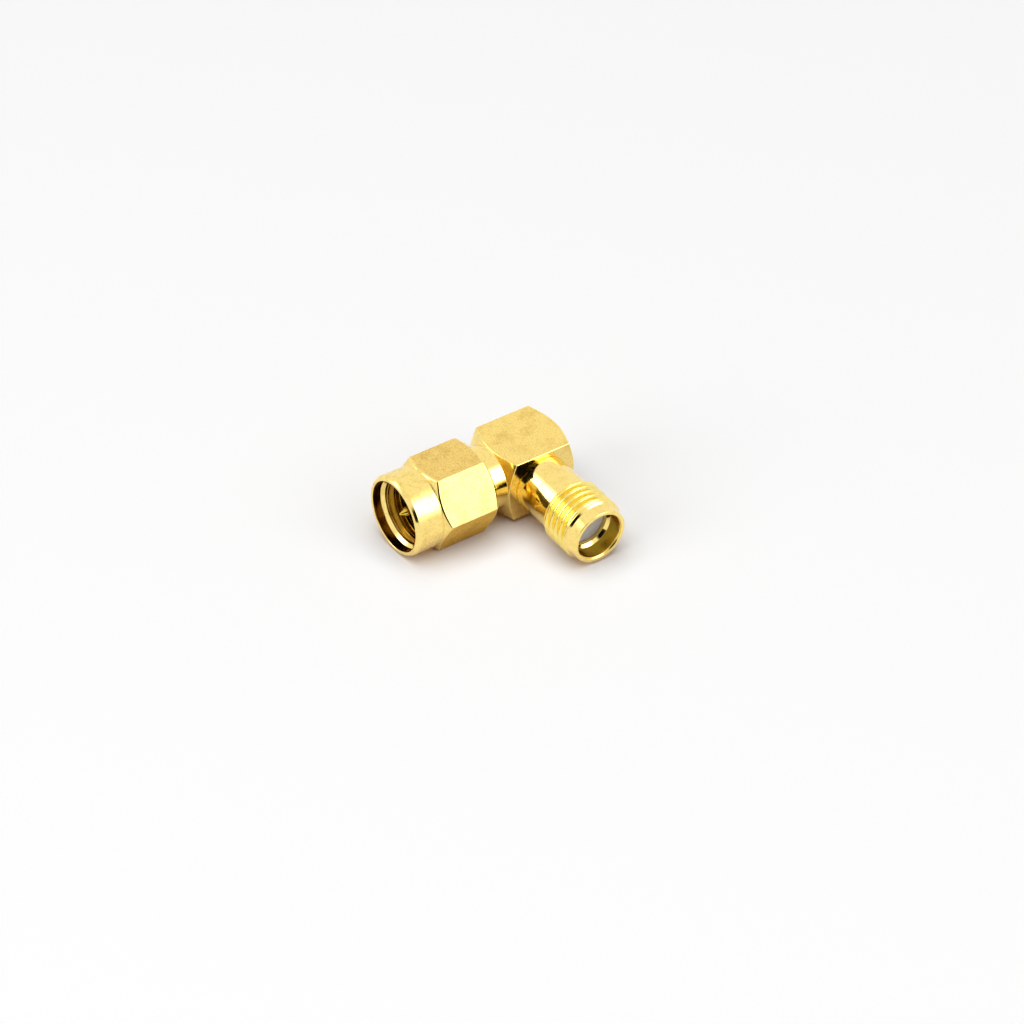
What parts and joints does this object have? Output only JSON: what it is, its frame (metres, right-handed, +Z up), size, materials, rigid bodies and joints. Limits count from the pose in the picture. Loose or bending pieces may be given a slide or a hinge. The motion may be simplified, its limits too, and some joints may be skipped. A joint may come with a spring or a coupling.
{
  "type": "right-angle coaxial adapter",
  "caption": "Gold-plated right-angle coaxial adapter: square elbow block with a threaded jack on one arm and a plug with a spinning hexagonal coupling nut on the other.",
  "frame": {"origin": "centre of the plug's reference plane, where the pin leaves the insulator", "axes": "-Y out of the plug along its axis, +Z up, +X on the jack's side; the part lies at rest, so the jack's axis is rolled about 4.2 degrees below +X until its thread meets the plane of the nut's lowest flat"},
  "size_m": [0.0173, 0.0181, 0.008],
  "materials": {
    "gold_plate": "gold-plated brass, satin flats and bright turned surfaces",
    "gold_contact": "gold-plated contact alloy, bright",
    "spring_bronze": "bare spring bronze",
    "ptfe": "white fluoropolymer, satin"
  },
  "bodies": {
    "elbow": {"elbow_body": "gold_plate", "end_cap": "gold_plate", "jack_barrel": "gold_plate", "jack_insulator": "ptfe", "jack_contact": "gold_contact", "plug_insulator": "ptfe", "plug_pin": "gold_contact", "snap_ring": "spring_bronze"},
    "nut": {"coupling_nut": "gold_plate"}
  },
  "joints": [
    {"name": "nut_spin", "type": "hinge", "parent": "elbow", "child": "nut", "pos_m": [0, 0, 0], "axis": [0, -1, 0], "continuous": true}
  ]
}
